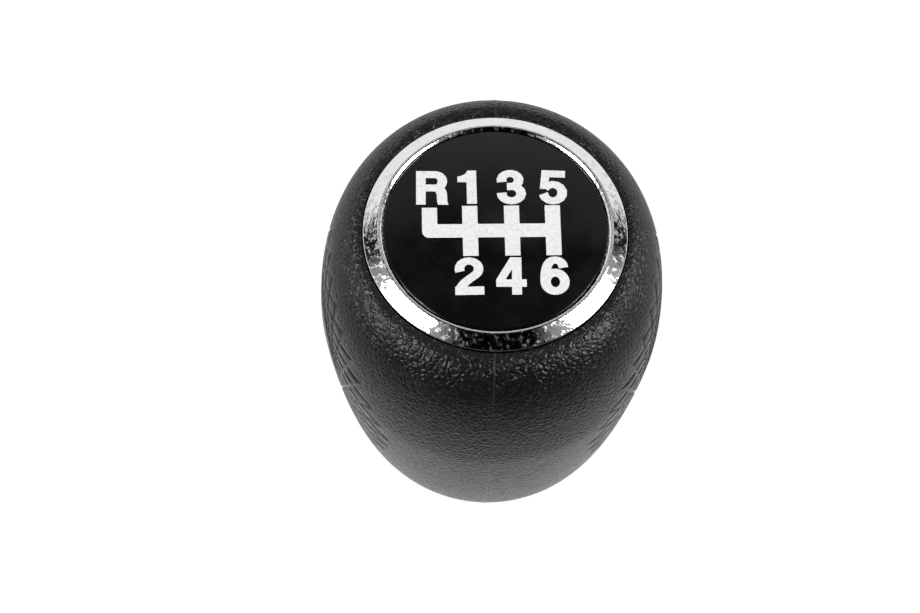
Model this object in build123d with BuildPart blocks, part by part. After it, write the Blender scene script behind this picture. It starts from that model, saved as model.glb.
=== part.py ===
"""Gear shift knob: soft moulded cover on a rigid core, chromed trim ring and shift-pattern cap.

Millimetres. The origin is the middle of the base, +Z runs up the lever's axis, +X points
to the right of a driver who faces forward, and +Y points forward.
"""

from build123d import *
from math import cos, radians, sin, tan
import os

# Cover, outside
GRIP_WIDTH = 50.0
GRIP_OVAL = 2.75  # how much deeper than wide the cover is
SHOULDER_HEIGHT = 50.3  # of the cover's lip round the ring
WIDEST_HEIGHT = 30.3
FOOT_INSET = 4.65  # how far the flank draws in above the base's rounding
FOOT_SLOPE = 21.5  # degrees from upright, where the flank runs into the rounding
BASE_ROUND = 6.0
LIP_BEVEL = 0.35  # at the edge round the ring
LIP_LAND = 0.2  # outside that bevel, where the cover is narrowest

# Fullness of the cover's curves, as shares of the step in or up that each one makes
SHOULDER_REACH = 0.856
SHOULDER_DROP = 0.086
CROWN_PULL = 0.376
FLANK_PULL = 0.10
FOOT_PULL = 0.28
SECTION_STEPS = (3, 5, 8)  # up the rounding, the flank and the crown

# Trim ring
RING_DIAMETER = 37.6
RING_WIDTH = 2.73  # across the sloping face, seen from above
RIM_STAND = 0.2  # of the rim, above the cover's lip
RING_RISE = 1.62  # from the rim up to the crest, before its bevel
RING_SINK = 2.3  # from the rim down to the seat
RIM_BEVEL = 0.3
CREST_BEVEL = 0.35
LEDGE_WIDTH = 1.5  # step inside the ring that carries the cap
LEDGE_THICKNESS = 1.3
RING_GAP = 0.15  # all round, between the ring and the cover

# Locating pegs under the ring
PEG_COUNT = 3
PEG_DIAMETER = 2.0
PEG_LENGTH = 2.0
PEG_GAP = 0.1
PEG_END_GAP = 0.4

# Shift-pattern cap
CAP_GAP = 0.12  # all round, between the cap and the ring
CAP_RECESS = 0.55  # below the crest
CAP_BEVEL = 0.2
LEG_COUNT = 3
LEG_ARC = 26.0  # degrees
LEG_THICKNESS = 1.5
LEG_GAP = 0.3  # between a leg and the cup's wall
LEG_SIDE_GAP = 1.0  # degrees, between a hook and the ends of its pocket
HOOK_REACH = 0.8  # past the cup's wall
HOOK_NOSE = 0.8  # height of the hook's blunt edge
HOOK_TAPER = 1.8  # height of the lead-in below it
CATCH_DEPTH = 3.2  # from the seat down to the hook's catch
CATCH_GAP = 0.15  # above and below a hook, in its pocket

# Core
CORE_LAP = 0.2  # how far the ring reaches out past the core's top
CUP_DEPTH = 8.0
CUP_FLOOR = 3.0
NECK_WALL = 2.0  # at the corners of the insert
FLANGE_WIDTH = 1.5  # at the foot of the neck, which keys it in the cover
FLANGE_HEIGHT = 2.5
BASE_RECESS = 0.6  # of the core's foot, above the cover's base
GUSSET_COUNT = 6
GUSSET_THICKNESS = 2.4
GUSSET_HEIGHT = 22.0
GUSSET_FOOT = 1.6  # how far a gusset stands out at its lower end

# Lever thread and its insert
THREAD_DIAMETER = 12.0
THREAD_PITCH = 1.25
THREAD_DEPTH = 17.0
THREAD_LEAD_IN = 0.8
DRILL_POINT = 31.0  # degrees from flat, at the blind end
LEVER_GAP = 0.4  # between the lever and the core's bore
MOUTH_BEVEL = 1.0
INSERT_START = 10.0  # above the base
INSERT_LENGTH = 22.0
INSERT_WALL = 2.0  # outside the thread, at the insert's flats
INSERT_SIDES = 6
INSERT_GROOVES = 1
INSERT_GROOVE_WIDTH = 2.4
INSERT_GROOVE_DEPTH = 0.6  # below the flats

half_width = GRIP_WIDTH / 2
depth_ratio = (GRIP_WIDTH + GRIP_OVAL) / GRIP_WIDTH

ring_r = RING_DIAMETER / 2
opening_r = ring_r - RING_WIDTH
ledge_r = opening_r - LEDGE_WIDTH
rim_z = SHOULDER_HEIGHT + RIM_STAND
seat_z = rim_z - RING_SINK
crest_z = rim_z + RING_RISE
ledge_z = seat_z + LEDGE_THICKNESS
peg_circle_r = (ledge_r + ring_r) / 2
peg_start = 180 / PEG_COUNT  # half a step round, so that the pegs stand between the cap's legs

cap_top_z = crest_z - CAP_RECESS
leg_r = ledge_r - LEG_GAP
hook_r = ledge_r + HOOK_REACH
catch_z = seat_z - CATCH_DEPTH

barrel_r = ring_r - CORE_LAP
cup_floor_z = seat_z - CUP_DEPTH
plate_z = cup_floor_z - CUP_FLOOR

thread_r = (THREAD_DIAMETER - 1.0825 * THREAD_PITCH) / 2
flats_r = THREAD_DIAMETER / 2 + INSERT_WALL
corner_r = flats_r / cos(radians(180 / INSERT_SIDES))
neck_r = corner_r + NECK_WALL


def radial_plane(angle):
    """Upright plane through the knob's axis: local x runs outwards and local y runs up."""
    outwards = (cos(radians(angle)), sin(radians(angle)), 0)
    across = (sin(radians(angle)), -cos(radians(angle)), 0)
    return Plane(origin=(0, 0, 0), x_dir=outwards, z_dir=across)


# Outer form of the insert: a length of hexagon bar with a retaining groove turned in it
groove_pitch = INSERT_LENGTH / (INSERT_GROOVES + 1)
with BuildPart() as insert_form:
    with BuildSketch(Plane.XY.offset(INSERT_START)):
        RegularPolygon(corner_r, INSERT_SIDES)
    extrude(amount=INSERT_LENGTH)
    for number in range(1, INSERT_GROOVES + 1):
        groove_z = INSERT_START + number * groove_pitch - INSERT_GROOVE_WIDTH / 2
        with BuildSketch(Plane.XY.offset(groove_z)):
            Circle(corner_r)
            Circle(flats_r - INSERT_GROOVE_DEPTH, mode=Mode.SUBTRACT)
        extrude(amount=INSERT_GROOVE_WIDTH, mode=Mode.SUBTRACT)

# Threaded insert: the form with a blind, drilled hole
with BuildPart() as threaded_insert:
    add(insert_form.part)
    with BuildSketch(Plane.XZ):
        with BuildLine():
            Polyline(
                (0, INSERT_START),
                (thread_r + THREAD_LEAD_IN, INSERT_START),
                (thread_r, INSERT_START + THREAD_LEAD_IN),
                (thread_r, INSERT_START + THREAD_DEPTH),
                (0, INSERT_START + THREAD_DEPTH + thread_r * tan(radians(DRILL_POINT))),
                close=True,
            )
        make_face()
    revolve(axis=Axis.Z, mode=Mode.SUBTRACT)

# Outer form of the core: neck, foot flange, cup and the gussets that brace the cup
with BuildPart() as core_form:
    with BuildSketch(Plane.XZ):
        with BuildLine():
            Polyline(
                (0, BASE_RECESS),
                (neck_r + FLANGE_WIDTH, BASE_RECESS),
                (neck_r + FLANGE_WIDTH, BASE_RECESS + FLANGE_HEIGHT),
                (neck_r, BASE_RECESS + FLANGE_HEIGHT),
                (neck_r, plate_z),
                (barrel_r, plate_z),
                (barrel_r, seat_z),
                (0, seat_z),
                close=True,
            )
        make_face()
    revolve(axis=Axis.Z)
    for number in range(GUSSET_COUNT):
        with BuildSketch(radial_plane(number * 360 / GUSSET_COUNT)):
            with BuildLine():
                Polyline(
                    (corner_r, plate_z - GUSSET_HEIGHT),
                    (neck_r + GUSSET_FOOT, plate_z - GUSSET_HEIGHT),
                    (barrel_r - GUSSET_FOOT, plate_z),
                    (corner_r, plate_z),
                    close=True,
                )
            make_face()
        extrude(amount=GUSSET_THICKNESS / 2, both=True)

# Core: the form with its cup, snap pockets, peg holes, insert seat and lever bore
lever_r = THREAD_DIAMETER / 2 + LEVER_GAP
pocket_arc = LEG_ARC + 2 * LEG_SIDE_GAP
pocket_height = HOOK_NOSE + HOOK_TAPER + 2 * CATCH_GAP
with BuildPart() as core:
    add(core_form.part)
    with BuildSketch(Plane.XY.offset(seat_z)):
        Circle(ledge_r)
    extrude(amount=-CUP_DEPTH, mode=Mode.SUBTRACT)
    for number in range(LEG_COUNT):
        with BuildSketch(radial_plane(number * 360 / LEG_COUNT - pocket_arc / 2)):
            with BuildLine():
                Polyline(
                    (leg_r, catch_z),
                    (hook_r + LEG_GAP, catch_z),
                    (hook_r + LEG_GAP, catch_z - pocket_height),
                    (leg_r, catch_z - pocket_height),
                    close=True,
                )
            make_face()
        revolve(axis=Axis.Z, revolution_arc=pocket_arc, mode=Mode.SUBTRACT)
    with BuildSketch(Plane.XY.offset(seat_z)):
        with PolarLocations(peg_circle_r, PEG_COUNT, start_angle=peg_start):
            Circle(PEG_DIAMETER / 2 + PEG_GAP)
    extrude(amount=-(PEG_LENGTH + PEG_END_GAP), mode=Mode.SUBTRACT)
    add(insert_form.part, mode=Mode.SUBTRACT)
    with BuildSketch(Plane.XZ):
        with BuildLine():
            Polyline(
                (0, BASE_RECESS),
                (lever_r + MOUTH_BEVEL, BASE_RECESS),
                (lever_r, BASE_RECESS + MOUTH_BEVEL),
                (lever_r, INSERT_START),
                (0, INSERT_START),
                close=True,
            )
        make_face()
    revolve(axis=Axis.Z, mode=Mode.SUBTRACT)

# Side outline of the cover, from the edge of its flat base up to its lip round the ring
pocket_r = ring_r + RING_GAP
lip_r = pocket_r + LIP_BEVEL + LIP_LAND
foot_slope = radians(FOOT_SLOPE)
foot_r = half_width - FOOT_INSET
base_r = foot_r - BASE_ROUND * cos(foot_slope)
foot_z = BASE_ROUND * (1 - sin(foot_slope))
flank_rise = WIDEST_HEIGHT - foot_z
crown_rise = SHOULDER_HEIGHT - WIDEST_HEIGHT
shoulder_out = SHOULDER_REACH * (half_width - lip_r)
shoulder_down = SHOULDER_DROP * crown_rise
with BuildLine(Plane.XZ):
    rounding = JernArc((base_r, 0), (1, 0), BASE_ROUND, 90 - FOOT_SLOPE)
    flank = Bezier(
        (foot_r, foot_z),
        (
            foot_r + FOOT_PULL * flank_rise * sin(foot_slope),
            foot_z + FOOT_PULL * flank_rise * cos(foot_slope),
        ),
        (half_width, WIDEST_HEIGHT - FLANK_PULL * flank_rise),
        (half_width, WIDEST_HEIGHT),
    )
    crown = Bezier(
        (half_width, WIDEST_HEIGHT),
        (half_width, WIDEST_HEIGHT + CROWN_PULL * crown_rise),
        (lip_r + shoulder_out, SHOULDER_HEIGHT - shoulder_down),
        (lip_r, SHOULDER_HEIGHT),
    )
outline = [
    curve @ (number / steps)
    for curve, steps in zip((rounding, flank, crown), SECTION_STEPS)
    for number in range(steps)
]
outline.append(crown @ 1)

# Soft cover: oval sections moulded round the core, open at the top for the ring
with BuildPart() as grip_cover:
    for point in outline:
        with BuildSketch(Plane.XY.offset(point.Z)):
            Ellipse(point.X, point.X * depth_ratio)
    loft()
    with BuildSketch(Plane.XZ):
        with BuildLine():
            Polyline(
                (0, seat_z),
                (pocket_r, seat_z),
                (pocket_r, SHOULDER_HEIGHT - LIP_BEVEL),
                (pocket_r + LIP_BEVEL, SHOULDER_HEIGHT),
                (0, SHOULDER_HEIGHT),
                close=True,
            )
        make_face()
    revolve(axis=Axis.Z, mode=Mode.SUBTRACT)
    add(core_form.part, mode=Mode.SUBTRACT)
    with BuildSketch(Plane.XY):
        Circle(neck_r + FLANGE_WIDTH)
    extrude(amount=BASE_RECESS, mode=Mode.SUBTRACT)

# Trim ring: sloping face with a bevelled rim and crest, and a ledge inside for the cap
with BuildPart() as trim_ring:
    with BuildSketch(Plane.XZ):
        with BuildLine():
            Polyline(
                (ledge_r, seat_z),
                (ring_r, seat_z),
                (ring_r, rim_z),
                (opening_r, crest_z),
                (opening_r, ledge_z),
                (ledge_r, ledge_z),
                close=True,
            )
        make_face()
    revolve(axis=Axis.Z)
    chamfer(trim_ring.edges().group_by(Axis.Z)[-1], length=CREST_BEVEL)
    rim = trim_ring.edges().filter_by(GeomType.CIRCLE).filter_by_position(
        Axis.Z, rim_z - RIM_BEVEL / 2, rim_z + RIM_BEVEL / 2
    )
    chamfer(rim, length=RIM_BEVEL)
    with BuildSketch(Plane.XY.offset(seat_z)):
        with PolarLocations(peg_circle_r, PEG_COUNT, start_angle=peg_start):
            Circle(PEG_DIAMETER / 2)
    extrude(amount=-PEG_LENGTH)

# Shift-pattern cap: a flat disc on hooked legs that snap into the core's pockets
cap_r = opening_r - CAP_GAP
hook_z = catch_z - CATCH_GAP
with BuildPart() as pattern_cap:
    with BuildSketch(Plane.XY.offset(ledge_z)):
        Circle(cap_r)
    extrude(amount=cap_top_z - ledge_z)
    chamfer(pattern_cap.edges().group_by(Axis.Z)[-1], length=CAP_BEVEL)
    for number in range(LEG_COUNT):
        with BuildSketch(radial_plane(number * 360 / LEG_COUNT - LEG_ARC / 2)):
            with BuildLine():
                Polyline(
                    (leg_r - LEG_THICKNESS, ledge_z),
                    (leg_r, ledge_z),
                    (leg_r, hook_z),
                    (hook_r, hook_z),
                    (hook_r, hook_z - HOOK_NOSE),
                    (leg_r, hook_z - HOOK_NOSE - HOOK_TAPER),
                    (leg_r - LEG_THICKNESS, hook_z - HOOK_NOSE - HOOK_TAPER),
                    close=True,
                )
            make_face()
        revolve(axis=Axis.Z, revolution_arc=LEG_ARC)

os.makedirs("parts", exist_ok=True)
pieces = {
    "grip_cover": grip_cover,
    "core": core,
    "threaded_insert": threaded_insert,
    "trim_ring": trim_ring,
    "pattern_cap": pattern_cap,
}
for name, piece in pieces.items():
    piece.part.label = name
    export_step(piece.part, f"parts/{name}.step")
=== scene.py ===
"""Gear shift knob: grained cover, chromed ring, gloss cap with its shift pattern, brass insert.

Sizes are in millimetres and become metres where a mesh is made. The frame is the CAD part's own:
origin in the middle of the base, +Z up the lever, +X to the driver's right, +Y forward.
"""

from math import atan2, cos, degrees, pi, radians, sin, tan

import bmesh
import bpy
import numpy as np
from mathutils import Matrix, Vector
from mathutils.geometry import delaunay_2d_cdt


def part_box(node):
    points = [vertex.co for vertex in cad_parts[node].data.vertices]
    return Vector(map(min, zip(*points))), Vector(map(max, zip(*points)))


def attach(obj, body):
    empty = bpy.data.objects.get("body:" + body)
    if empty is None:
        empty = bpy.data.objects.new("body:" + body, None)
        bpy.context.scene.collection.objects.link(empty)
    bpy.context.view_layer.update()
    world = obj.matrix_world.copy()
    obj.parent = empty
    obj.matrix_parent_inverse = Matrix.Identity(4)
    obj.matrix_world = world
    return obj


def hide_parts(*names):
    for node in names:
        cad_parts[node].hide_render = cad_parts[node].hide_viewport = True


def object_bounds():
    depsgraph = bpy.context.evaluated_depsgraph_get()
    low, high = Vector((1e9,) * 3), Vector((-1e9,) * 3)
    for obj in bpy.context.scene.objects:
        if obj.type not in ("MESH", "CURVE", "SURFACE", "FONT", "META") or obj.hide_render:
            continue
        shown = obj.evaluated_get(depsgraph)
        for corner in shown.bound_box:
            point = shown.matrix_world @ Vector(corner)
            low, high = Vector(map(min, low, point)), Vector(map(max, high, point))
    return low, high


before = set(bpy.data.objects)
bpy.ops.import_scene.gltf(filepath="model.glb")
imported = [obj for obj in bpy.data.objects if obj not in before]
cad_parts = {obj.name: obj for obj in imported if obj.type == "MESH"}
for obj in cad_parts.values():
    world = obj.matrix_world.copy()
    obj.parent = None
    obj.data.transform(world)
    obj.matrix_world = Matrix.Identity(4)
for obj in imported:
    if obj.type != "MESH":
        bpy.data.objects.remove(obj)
cad_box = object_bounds()

MM = 0.001


def corners_mm(node):
    """Lowest and highest corner of a CAD node, in millimetres."""
    low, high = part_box(node)
    return low / MM, high / MM


cover_low, cover_high = corners_mm("grip_cover")
core_high = corners_mm("core")[1]
insert_low, insert_high = corners_mm("threaded_insert")
ring_low, ring_high = corners_mm("trim_ring")
cap_high = corners_mm("pattern_cap")[1]

# Cover, outside
WIDEST_HEIGHT = 30.3
FOOT_INSET = 4.65
FOOT_SLOPE = radians(21.5)
BASE_ROUND = 6.0

# Fullness of the cover's curves, as shares of the step in or up that each one makes
SHOULDER_REACH = 0.856
SHOULDER_DROP = 0.086
CROWN_PULL = 0.376
FLANK_PULL = 0.10
FOOT_PULL = 0.28

# Lip round the ring, and the parting line
LIP_WIDTH = 0.55
LIP_ROUND = 0.15
RING_GAP = 0.15
PARTING_WIDTH = 0.14
PARTING_SKIRT = 0.1
PARTING_RISE = 0.06
PARTING_START = 2.0  # from the base and from the lip
PARTING_RUN_OUT = 0.8

# Panels of crossing grooves on the two sides
PANEL_RADIUS = 20.4
PANEL_HEIGHT = 25.05
PANEL_POINTS = 32
PANEL_SKIP = 10
PANEL_TURN = 0.214  # of the step between two points
GROOVE_WIDTH = 0.54
GROOVE_FLOOR = 0.4  # share of that width
GROOVE_DEPTH = 0.12

# Cover, inside
NECK_RADIUS = 11.24
FLANGE_RADIUS = 12.74
FLANGE_TOP = 3.1
PLATE_HEIGHT = 37.2

# Ring
RING_WIDTH = 2.73
RING_RISE = 1.62
RING_SINK = 2.3
RIM_ROUND = 0.24
CREST_WIDTH = 0.5
CREST_SLOPE = radians(39)
CREST_ROUND = 0.42
CREST_FOOT_ROUND = 0.12
LEDGE_WIDTH = 1.5
LEDGE_THICKNESS = 1.3
PEG_COUNT = 3
PEG_DIAMETER = 2.0
PEG_LENGTH = 2.0

# Insert
INSERT_SIDES = 6
INSERT_GROOVE_WIDTH = 2.4
INSERT_GROOVE_DEPTH = 0.6
THREAD_DIAMETER = 12.0
THREAD_PITCH = 1.25
THREAD_DEPTH = 17.0
THREAD_HEIGHT = 1.0825  # both ridges across the bore, as a share of the pitch
THREAD_LEAD_IN = 0.8
THREAD_FOOT = 0.05  # of the ridge, sunk in the bore's wall
DRILL_POINT = radians(31.0)

# Fineness of the meshes
COVER_STEPS = 90  # round half of the cover
COVER_SPACING = 1.15
ROUND_STEPS = 240
CURVE_STEPS = 12
PEG_STEPS = 32
THREAD_STEPS = 64  # in one turn
DOUBLES = 0.0005  # points closer than this are one

# Ring, as the frame gives it
ring_r = ring_high.x
opening_r = ring_r - RING_WIDTH
ledge_r = opening_r - LEDGE_WIDTH
seat_z = ring_low.z + PEG_LENGTH
ring_rim = seat_z + RING_SINK


def arc_points(centre, radii, start, end, steps=CURVE_STEPS):
    """Points on an elliptical arc, with its angles in degrees."""
    angles = np.radians(np.linspace(start, end, steps + 1))
    x = centre[0] + radii[0] * np.cos(angles)
    y = centre[1] + radii[1] * np.sin(angles)
    return np.column_stack([x, y])


def bezier_points(start, pull_start, pull_end, end, steps=60):
    """Points on a cubic Bezier curve."""
    t = np.linspace(0, 1, steps + 1)[:, None]
    start, pull_start, pull_end, end = (np.array(p) for p in (start, pull_start, pull_end, end))
    return (
        (1 - t) ** 3 * start
        + 3 * (1 - t) ** 2 * t * pull_start
        + 3 * (1 - t) * t**2 * pull_end
        + t**3 * end
    )


def rounded_outline(corners, steps=8, hold=0.03):
    """A closed outline from (x, y, radius) corners, with an arc at each corner that has a radius.

    A point is held close to each end of an arc, so that smooth shading keeps the flats flat.
    """
    points = []
    for number, (x, y, radius) in enumerate(corners):
        corner = Vector((x, y))
        before = (Vector(corners[number - 1][:2]) - corner).normalized()
        after = (Vector(corners[(number + 1) % len(corners)][:2]) - corner).normalized()
        if not radius:
            points.append(tuple(corner))
            continue
        half = before.angle(after) / 2
        reach = radius / tan(half)
        centre = corner + (before + after).normalized() * (radius / sin(half))
        first = corner + before * reach - centre
        last = corner + after * reach - centre
        turn = atan2(first.x * last.y - first.y * last.x, first.dot(last))
        points.append(tuple(corner + before * (reach + hold)))
        for step in range(steps + 1):
            points.append(tuple(centre + Matrix.Rotation(turn * step / steps, 2) @ first))
        points.append(tuple(corner + after * (reach + hold)))
    return points


def finished_mesh(name, vertices, faces, sharp_angle, marks=None):
    """A finished object from millimetre points, with named marks at them for a material to read."""
    mesh = bpy.data.meshes.new(name)
    mesh.from_pydata([Vector(v) * MM for v in vertices], [], [list(f) for f in faces])
    for mark, values in (marks or {}).items():
        mesh.attributes.new(mark, "FLOAT", "POINT").data.foreach_set("value", values)
    return finished_object(name, mesh, sharp_angle)


def finished_object(name, mesh, sharp_angle):
    """An object for a mesh: doubles merged, loose points dropped, faces outwards, edges eased."""
    work = bmesh.new()
    work.from_mesh(mesh)
    bmesh.ops.remove_doubles(work, verts=work.verts, dist=DOUBLES * MM)
    bmesh.ops.dissolve_degenerate(work, edges=work.edges, dist=DOUBLES * MM)
    bmesh.ops.delete(work, geom=[v for v in work.verts if not v.link_faces], context="VERTS")
    bmesh.ops.recalc_face_normals(work, faces=work.faces)
    work.to_mesh(mesh)
    work.free()
    mesh.polygons.foreach_set("use_smooth", [True] * len(mesh.polygons))
    mesh.set_sharp_from_angle(angle=radians(sharp_angle))
    piece = bpy.data.objects.new(name, mesh)
    bpy.context.scene.collection.objects.link(piece)
    return piece


def ring_faces(ring_count, steps, closed=False):
    """Quads between rings of points that follow each other."""
    faces = []
    for ring in range(ring_count if closed else ring_count - 1):
        here = ring * steps
        there = (ring + 1) % ring_count * steps
        for step in range(steps):
            after = (step + 1) % steps
            faces.append((here + step, here + after, there + after, there + step))
    return faces


# Materials


def linear(hex_code):
    """Linear colour of an sRGB hex code."""
    parts = [int(hex_code[i : i + 2], 16) / 255 for i in (1, 3, 5)]
    return (*[c / 12.92 if c <= 0.04045 else ((c + 0.055) / 1.055) ** 2.4 for c in parts], 1.0)


def add_node(tree, kind, inputs=None, **settings):
    """Adds a node with its settings, and gives each input a value or a link."""
    node = tree.nodes.new(kind)
    for name, value in settings.items():
        setattr(node, name, value)
    for name, value in (inputs or {}).items():
        if isinstance(value, bpy.types.NodeSocket):
            tree.links.new(value, node.inputs[name])
        else:
            node.inputs[name].default_value = value
    return node


def new_material(name):
    """A material with an empty node tree."""
    material = bpy.data.materials.new(name)
    material.use_nodes = True
    material.node_tree.nodes.clear()
    return material, material.node_tree


def per_metre(width_mm):
    """Texture scale at which one cell of a pattern is about that wide."""
    return 1 / (width_mm * MM)


def moulded_soft_pvc():
    """Soft PVC skin, moulded in a tool etched with leather grain.

    The eye sees rounded pebbles with fine creases between them, dull black on top, with painted
    shade that darkens the creases, and a soft sheen at grazing angles. The grain is quieter on the
    grooved panels and stops short of the parting line. That line is painted lighter grey, a painted
    highlight for the light its smooth ridge catches, and the grooves are painted lighter grey, a
    painted highlight for the light they catch.
    """
    material, tree = new_material("soft_pvc_moulded_leather_grain")
    pebble_width, wander_width, pore_width, patch_width = 0.85, 0.9, 0.25, 4.0
    wander = 0.4  # how far the creases stray
    grain_depth = 0.13
    pore_share, panel_share = 0.3, 0.35  # of that depth
    panel_start, panel_end = PANEL_RADIUS - 1, PANEL_RADIUS + 0.5
    pebble_slope = 0.34  # from a crease up to the top, as a share of a pebble's width
    sheen_low, sheen_high = 0.3, 0.42  # roughness
    place = add_node(tree, "ShaderNodeTexCoord").outputs["Object"]
    drift, pores, patches = [
        add_node(
            tree, "ShaderNodeTexNoise", {"Vector": place, "Scale": per_metre(width), "Detail": detail}
        )
        for width, detail in ((wander_width, 2.0), (pore_width, 2.0), (patch_width, 1.0))
    ]
    centred = add_node(
        tree,
        "ShaderNodeVectorMath",
        {0: drift.outputs["Color"], 1: (0.5, 0.5, 0.5)},
        operation="SUBTRACT",
    )
    moved = add_node(
        tree,
        "ShaderNodeVectorMath",
        {0: centred.outputs[0], 1: (wander * MM,) * 3, 2: place},
        operation="MULTIPLY_ADD",
    )
    cells = add_node(
        tree,
        "ShaderNodeTexVoronoi",
        {"Vector": moved.outputs[0], "Scale": per_metre(pebble_width)},
        feature="DISTANCE_TO_EDGE",
    )
    pebble = add_node(
        tree,
        "ShaderNodeMapRange",
        {"Value": cells.outputs["Distance"], "From Max": pebble_slope},
        interpolation_type="SMOOTHSTEP",
    )
    fullness = add_node(
        tree,
        "ShaderNodeMapRange",
        {"Value": patches.outputs["Fac"], "From Min": 0.3, "From Max": 0.7, "To Min": 0.55},
    )
    relief = add_node(
        tree, "ShaderNodeMath", {0: pebble.outputs[0], 1: fullness.outputs[0]}, operation="MULTIPLY"
    )
    grained = add_node(
        tree,
        "ShaderNodeMath",
        {0: pores.outputs["Fac"], 1: pore_share, 2: relief.outputs[0]},
        operation="MULTIPLY_ADD",
    )
    across = add_node(tree, "ShaderNodeSeparateXYZ", {0: place})
    off_line = add_node(tree, "ShaderNodeMath", {0: across.outputs["X"]}, operation="ABSOLUTE")
    clear = add_node(
        tree,
        "ShaderNodeMapRange",
        {
            "Value": off_line.outputs[0],
            "From Min": PARTING_WIDTH / 2 * MM,
            "From Max": (PARTING_WIDTH / 2 + PARTING_SKIRT) * MM,
        },
    )
    from_panel = add_node(
        tree,
        "ShaderNodeVectorMath",
        {0: place, 1: (0, 1, 1), 2: (0, 0, -PANEL_HEIGHT * MM)},
        operation="MULTIPLY_ADD",
    )
    off_centre = add_node(tree, "ShaderNodeVectorMath", {0: from_panel.outputs[0]}, operation="LENGTH")
    quiet = add_node(
        tree,
        "ShaderNodeMapRange",
        {
            "Value": off_centre.outputs["Value"],
            "From Min": panel_start * MM,
            "From Max": panel_end * MM,
            "To Min": panel_share,
        },
    )
    spread = add_node(
        tree, "ShaderNodeMath", {0: clear.outputs[0], 1: quiet.outputs[0]}, operation="MULTIPLY"
    )
    height = add_node(
        tree, "ShaderNodeMath", {0: grained.outputs[0], 1: spread.outputs[0]}, operation="MULTIPLY"
    )
    bump = add_node(
        tree, "ShaderNodeBump", {"Distance": grain_depth * MM, "Height": height.outputs[0]}
    )
    # Painted shade: the creases between the pebbles are painted darker than the pebbles' tops.
    shade = add_node(
        tree,
        "ShaderNodeMix",
        {0: pebble.outputs[0], 6: linear("#050506"), 7: linear("#0B0B0C")},
        data_type="RGBA",
    )
    # Painted highlight: the parting line is painted lighter grey, for the light its smooth ridge
    # catches.
    painted_line_highlight = add_node(
        tree,
        "ShaderNodeMix",
        {0: clear.outputs[0], 6: linear("#29292A"), 7: shade.outputs[2]},
        data_type="RGBA",
    )
    # Painted highlight: the grooves are painted lighter grey, for the light they catch.
    groove = add_node(tree, "ShaderNodeAttribute", attribute_name="groove")
    painted_groove_highlight = add_node(
        tree,
        "ShaderNodeMix",
        {0: groove.outputs["Fac"], 6: painted_line_highlight.outputs[2], 7: linear("#2A2A2B")},
        data_type="RGBA",
    )
    sheen = add_node(
        tree,
        "ShaderNodeMapRange",
        {
            "Value": pores.outputs["Fac"],
            "From Min": 0.3,
            "From Max": 0.7,
            "To Min": sheen_low,
            "To Max": sheen_high,
        },
    )
    surface = add_node(
        tree,
        "ShaderNodeBsdfPrincipled",
        {
            "Base Color": painted_groove_highlight.outputs[2],
            "Roughness": sheen.outputs[0],
            "Normal": bump.outputs[0],
            "IOR": 1.5,
            "Specular IOR Level": 0.45,
        },
    )
    add_node(tree, "ShaderNodeOutputMaterial", {"Surface": surface.outputs[0]})
    return material


def chromed_abs():
    """Bright chrome plate on moulded ABS.

    The eye sees a slightly wavy mirror with clear edges in what it reflects, and worn patches where
    these edges break up into small hazy flecks.
    """
    material, tree = new_material("chrome_plate_on_moulded_abs")
    fleck_width, patch_width, swell_width = 0.3, 0.8, 2.0
    wear_depth = 0.025
    swell_share = 0.6  # of that depth
    mirror, haze = 0.03, 0.32  # roughness
    place = add_node(tree, "ShaderNodeTexCoord").outputs["Object"]
    flecks, patches, swell = [
        add_node(
            tree, "ShaderNodeTexNoise", {"Vector": place, "Scale": per_metre(width), "Detail": detail}
        )
        for width, detail in ((fleck_width, 3.0), (patch_width, 3.0), (swell_width, 1.0))
    ]
    wear = add_node(
        tree,
        "ShaderNodeMapRange",
        {"Value": patches.outputs["Fac"], "From Min": 0.4, "From Max": 0.68, "To Min": 0.15},
    )
    worn = add_node(
        tree, "ShaderNodeMath", {0: flecks.outputs["Fac"], 1: wear.outputs[0]}, operation="MULTIPLY"
    )
    height = add_node(
        tree,
        "ShaderNodeMath",
        {0: swell.outputs["Fac"], 1: swell_share, 2: worn.outputs[0]},
        operation="MULTIPLY_ADD",
    )
    bump = add_node(
        tree, "ShaderNodeBump", {"Distance": wear_depth * MM, "Height": height.outputs[0]}
    )
    polish = add_node(
        tree,
        "ShaderNodeMapRange",
        {
            "Value": worn.outputs[0],
            "From Min": 0.15,
            "From Max": 0.5,
            "To Min": mirror,
            "To Max": haze,
        },
    )
    surface = add_node(
        tree,
        "ShaderNodeBsdfPrincipled",
        {
            "Base Color": linear("#E6E6E8"),
            "Metallic": 1.0,
            "Roughness": polish.outputs[0],
            "Normal": bump.outputs[0],
        },
    )
    add_node(tree, "ShaderNodeOutputMaterial", {"Surface": surface.outputs[0]})
    return material


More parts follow.
